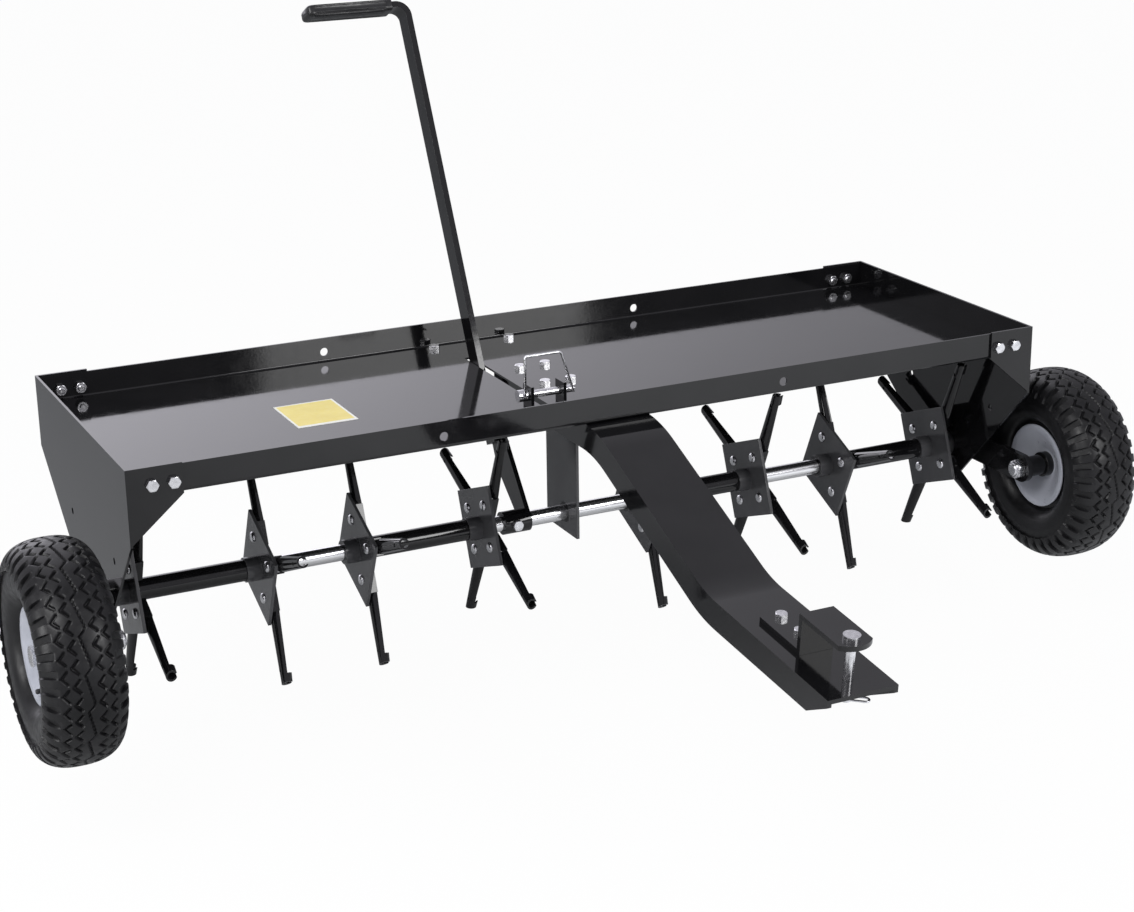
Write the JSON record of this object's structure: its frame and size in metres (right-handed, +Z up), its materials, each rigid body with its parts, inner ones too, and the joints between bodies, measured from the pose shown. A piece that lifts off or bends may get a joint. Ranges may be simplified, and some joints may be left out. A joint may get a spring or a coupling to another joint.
{
  "type": "tow-behind aerator",
  "caption": "Tow-behind plug aerator with a weight tray, free-turning coring gangs on a cross shaft, a lever that lowers the wheels, and a drawbar with a pin hitch.",
  "frame": {"origin": "on the ground, under the middle of the whole machine's box", "axes": "+X along the shaft to the machine's long side, -Y along the drawbar towards the towing vehicle, +Z up"},
  "size_m": [1.4716, 1.068, 0.7687],
  "materials": {
    "black_paint": "gloss",
    "zinc": "bright zinc",
    "bright_steel": "bright drawn",
    "bush_plastic": "satin",
    "vinyl": "ribbed vinyl",
    "patch": "plain",
    "rim_grey": "satin",
    "tyre_rubber": "matte",
    "valve_rubber": "matte"
  },
  "bodies": {
    "frame": {"tray": "black_paint", "plain_patch": "patch", "end_plate_left": "black_paint", "end_plate_right": "black_paint", "end_plate_bolts": "zinc", "end_plate_nuts": "zinc", "floor_bolts": "zinc", "floor_nuts": "zinc", "rear_strap": "black_paint", "shaft_bushes": "bush_plastic", "hanger": "black_paint", "hanger_bush": "bush_plastic", "lock_lugs": "black_paint", "drawbar": "black_paint", "hitch_strap": "black_paint", "strap_bolts": "zinc", "strap_nuts": "zinc"},
    "lift": {"shaft": "bright_steel", "lever_bar": "black_paint", "lever_grip": "vinyl", "lever_arm": "black_paint", "lever_bolts": "zinc", "collar_bolt": "zinc", "wheel_arm_left": "black_paint", "wheel_arm_right": "black_paint", "axle_bolts": "zinc", "axle_nuts": "zinc", "wheel_spacers": "black_paint"},
    "wheel_left": {"rim_left": "rim_grey", "tyre_left": "tyre_rubber", "hub_bush_left": "black_paint", "valve_left": "valve_rubber"},
    "wheel_right": {"rim_right": "rim_grey", "tyre_right": "tyre_rubber", "hub_bush_right": "black_paint", "valve_right": "valve_rubber"},
    "hitch_pin": {"hitch_pin": "zinc"},
    "hitch_clip": {"hitch_clip": "zinc"},
    "lock_pin": {"lock_pin": "zinc"},
    "lock_bail": {"lock_bail": "zinc"},
    "gang_1": {"gang_1_tube": "black_paint", "gang_1_plates": "black_paint", "gang_1_spoons": "black_paint", "gang_1_bolts": "zinc"},
    "gang_2": {"gang_2_tube": "black_paint", "gang_2_plates": "black_paint", "gang_2_spoons": "black_paint", "gang_2_bolts": "zinc"},
    "gang_3": {"gang_3_tube": "black_paint", "gang_3_plates": "black_paint", "gang_3_spoons": "black_paint", "gang_3_bolts": "zinc"},
    "gang_4": {"gang_4_tube": "black_paint", "gang_4_plates": "black_paint", "gang_4_spoons": "black_paint", "gang_4_bolts": "zinc"}
  },
  "joints": [
    {"name": "lift", "type": "hinge", "parent": "frame", "child": "lift", "pos_m": [0, 0.17679, 0.14061], "axis": [1, 0, 0], "range_deg": [0, 48]},
    {"name": "wheel_left_spin", "type": "hinge", "parent": "lift", "child": "wheel_left", "pos_m": [0, 0.03879, 0.14061], "axis": [1, 0, 0], "continuous": true},
    {"name": "wheel_right_spin", "type": "hinge", "parent": "lift", "child": "wheel_right", "pos_m": [0, 0.03879, 0.14061], "axis": [1, 0, 0], "continuous": true},
    {"name": "gang_1_spin", "type": "hinge", "parent": "lift", "child": "gang_1", "pos_m": [0, 0.17679, 0.14061], "axis": [1, 0, 0], "continuous": true},
    {"name": "gang_2_spin", "type": "hinge", "parent": "lift", "child": "gang_2", "pos_m": [0, 0.17679, 0.14061], "axis": [1, 0, 0], "continuous": true},
    {"name": "gang_3_spin", "type": "hinge", "parent": "lift", "child": "gang_3", "pos_m": [0, 0.17679, 0.14061], "axis": [1, 0, 0], "continuous": true},
    {"name": "gang_4_spin", "type": "hinge", "parent": "lift", "child": "gang_4", "pos_m": [0, 0.17679, 0.14061], "axis": [1, 0, 0], "continuous": true},
    {"name": "hitch_pin_pull", "type": "slide", "parent": "frame", "child": "hitch_pin", "axis": [0, -0.1045, 0.9945], "range_m": [0, 0.009]},
    {"name": "hitch_clip_pull", "type": "slide", "parent": "hitch_pin", "child": "hitch_clip", "axis": [0.809, -0.5846, -0.0614], "range_m": [0, 0.022]},
    {"name": "lock_pin_play", "type": "slide", "parent": "frame", "child": "lock_pin", "axis": [-1, 0, 0], "range_m": [0, 0.002]},
    {"name": "lock_bail_swing", "type": "hinge", "parent": "lock_pin", "child": "lock_bail", "pos_m": [-0.0878, 0.09679, 0.33461], "axis": [0, -1, 0], "range_deg": [0, 100]}
  ]
}
